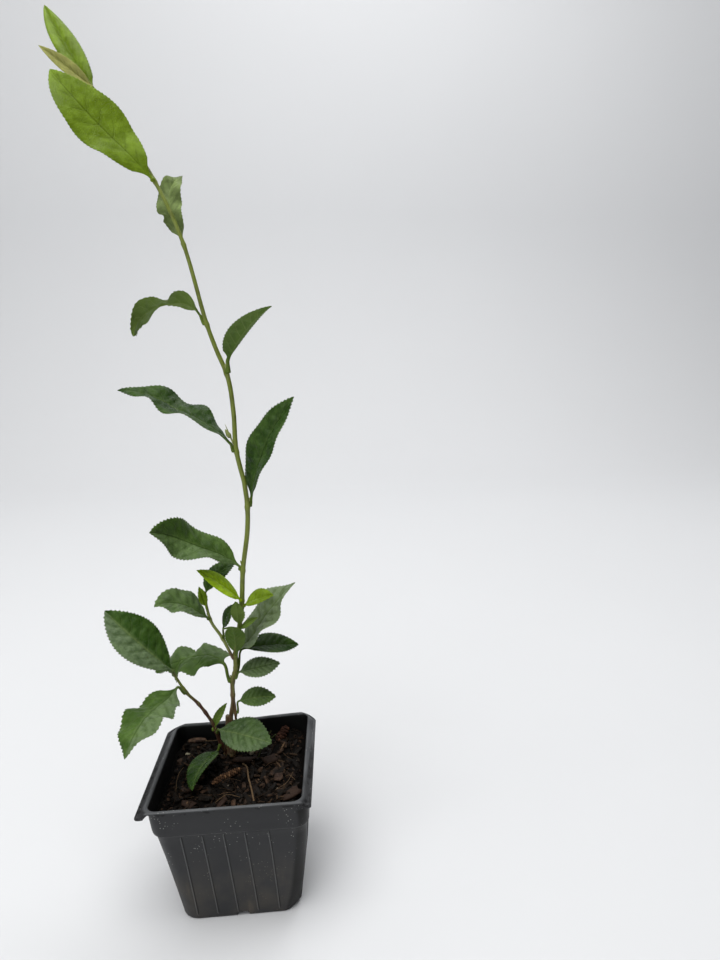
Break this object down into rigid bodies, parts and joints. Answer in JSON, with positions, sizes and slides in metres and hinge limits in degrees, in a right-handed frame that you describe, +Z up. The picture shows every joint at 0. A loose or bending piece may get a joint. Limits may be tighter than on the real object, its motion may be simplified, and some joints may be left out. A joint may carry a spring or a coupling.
{
  "type": "potted tea plant",
  "caption": "Young tea plant with a slim leaning stem and toothed leaves, in a square ribbed nursery pot filled with bark mix.",
  "frame": {"origin": "centre of the pot's flat underside, on the ground", "axes": "+Z up along the plant, +X to the right along the pot's front side, +Y towards the pot's back side"},
  "size_m": [0.126, 0.0981, 0.4733],
  "materials": {
    "pot": "matt moulded plastic with dust and a rusty stain",
    "potting_mix": "moist bark mix",
    "bark": "grey-brown young bark",
    "green_stem": "smooth green bark",
    "twig_bark": "red-brown smooth bark",
    "leaf": "glossy leathery leaf",
    "pale_leaf": "grey-green leaf",
    "young_leaf": "soft translucent young leaf"
  },
  "bodies": {
    "root": {"pot": "pot", "potting_mix": "potting_mix", "trunk": "bark", "leader_lower": "green_stem", "leader_upper": "green_stem", "left_shoot": "green_stem", "low_twig": "twig_bark", "leaf_trunk_right_1": "leaf", "leaf_trunk_right_2": "leaf", "leaf_trunk_right_3": "leaf", "leaf_trunk_right_4": "leaf", "leaf_trunk_left": "leaf", "leaf_shoot_left": "leaf", "leaf_shoot_right": "leaf", "leaf_young_right": "young_leaf", "leaf_young_left": "young_leaf", "leaf_leader_1": "leaf", "leaf_leader_2": "leaf", "leaf_leader_3": "leaf", "leaf_leader_4": "leaf", "leaf_leader_5": "leaf", "leaf_leader_6": "pale_leaf", "leaf_leader_7": "young_leaf", "leaf_twig_tip": "leaf", "leaf_twig_hanging": "leaf", "leaf_twig_small": "pale_leaf", "leaf_twig_front": "leaf", "leaf_twig_low": "leaf", "spray_fork": "leaf", "spray_shoot": "leaf", "spray_top": "young_leaf"}
  },
  "joints": []
}
